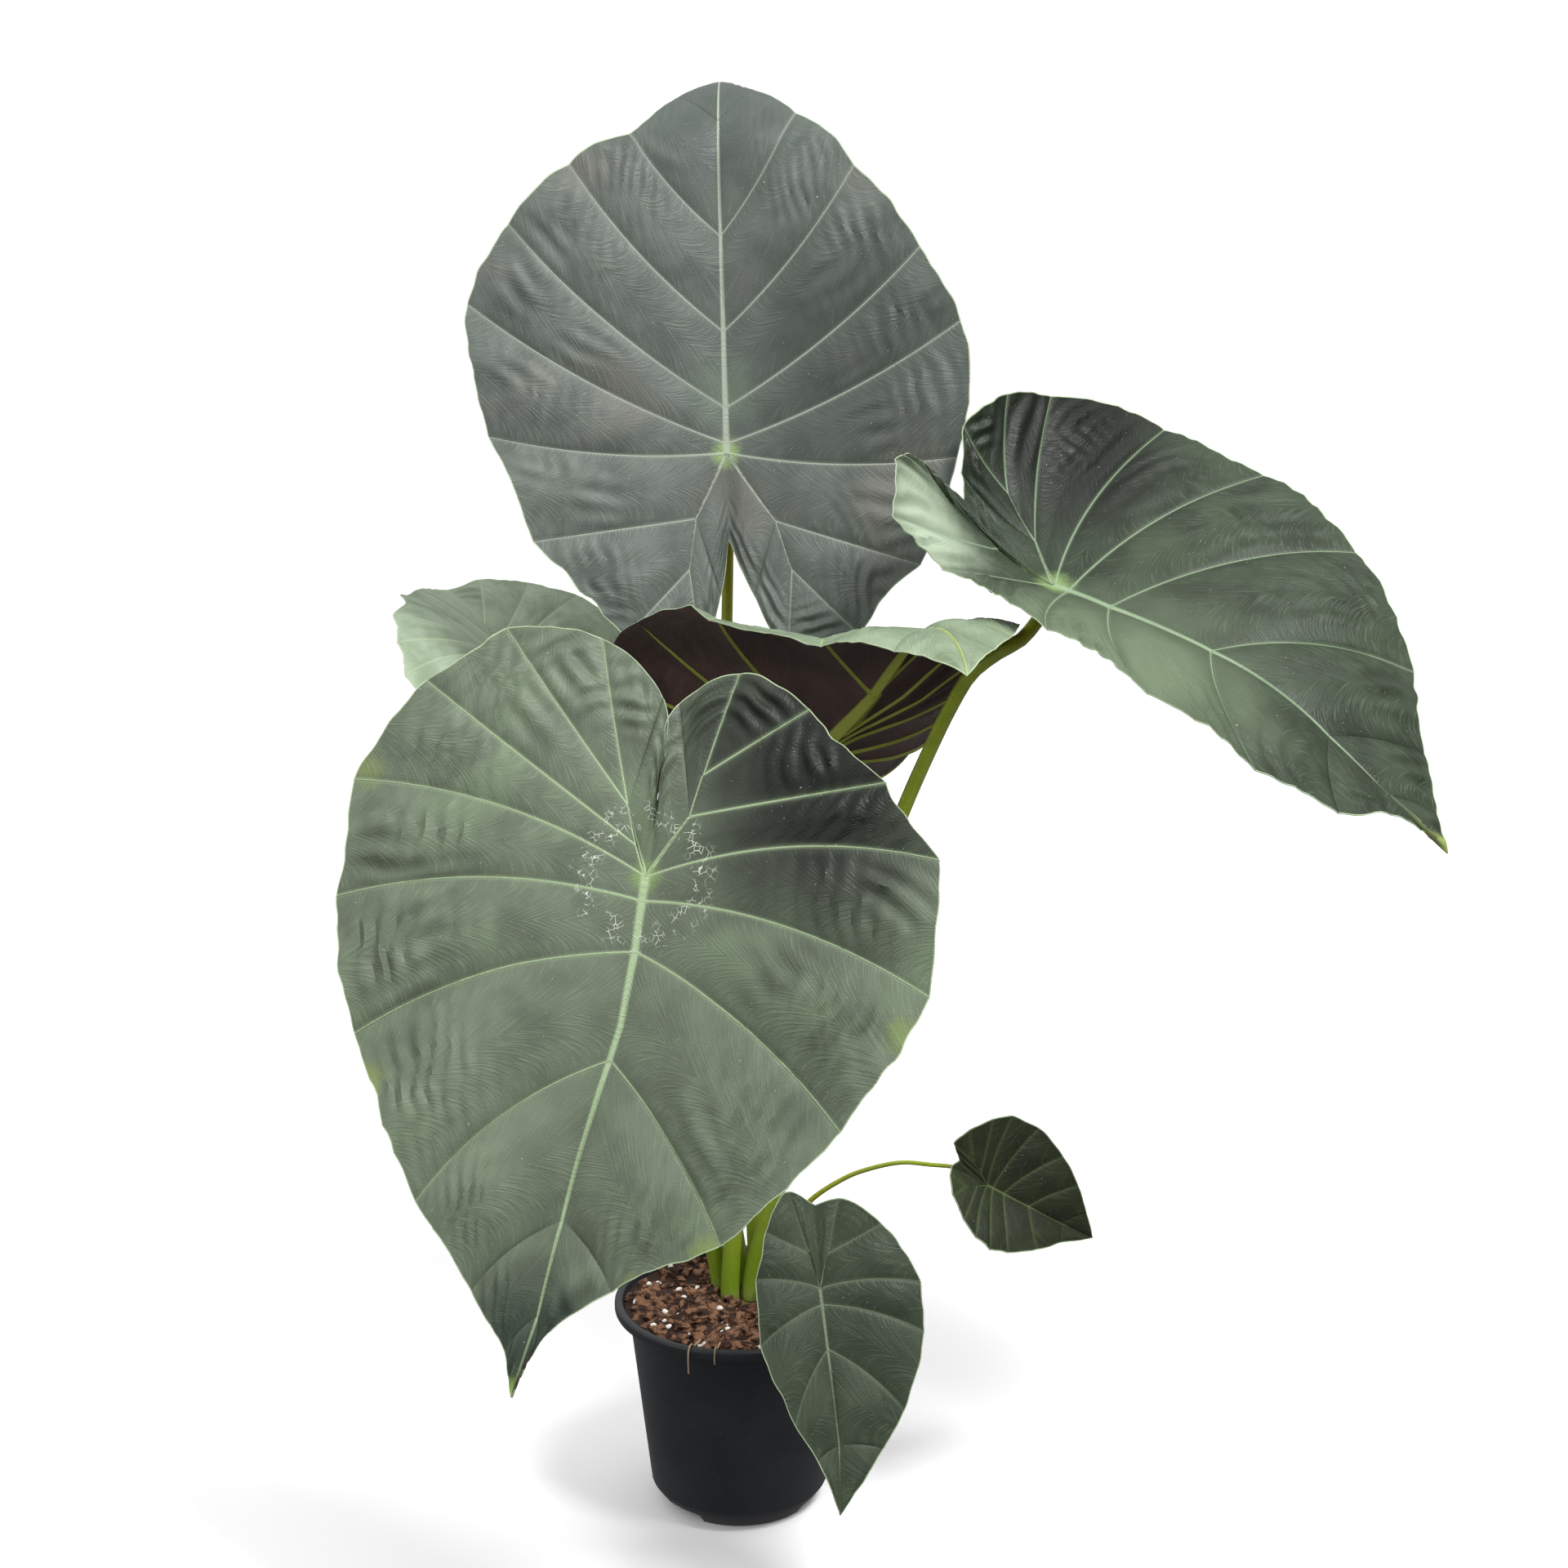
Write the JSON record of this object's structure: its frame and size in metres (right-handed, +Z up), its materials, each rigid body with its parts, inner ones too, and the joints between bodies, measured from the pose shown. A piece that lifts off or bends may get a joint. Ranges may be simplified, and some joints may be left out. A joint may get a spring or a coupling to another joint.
{
  "type": "potted regal shields alocasia",
  "caption": "Regal shields alocasia in a black nursery pot: broad grey-green shield leaves with pale veins, one turned to show its dark underside, on green stalks in bark and perlite mix.",
  "frame": {"origin": "middle of the pot's flat underside, on the surface it rests on", "axes": "+Z up through the pot towards the leaves, -Y towards the front, where the largest leaf hangs, +X to the right seen from the front"},
  "size_m": [0.6592, 0.5549, 0.9206],
  "materials": {
    "leaf": "satin",
    "young_leaf": "satin",
    "stalk": "satin",
    "crown": "matte",
    "root": "matte",
    "potting_mix": "matte",
    "pot": "satin"
  },
  "bodies": {
    "root": {"top_leaf_blade": "leaf", "front_leaf_blade": "leaf", "right_leaf_blade": "leaf", "middle_leaf_blade": "leaf", "back_leaf_blade": "leaf", "low_front_leaf_blade": "young_leaf", "low_right_leaf_blade": "young_leaf", "top_leaf_stalk": "stalk", "front_leaf_stalk": "stalk", "right_leaf_stalk": "stalk", "middle_leaf_stalk": "stalk", "back_leaf_stalk": "stalk", "low_front_leaf_stalk": "stalk", "low_right_leaf_stalk": "stalk", "crown": "crown", "long_root": "root", "short_root": "root", "potting_mix": "potting_mix", "pot": "pot"}
  },
  "joints": []
}
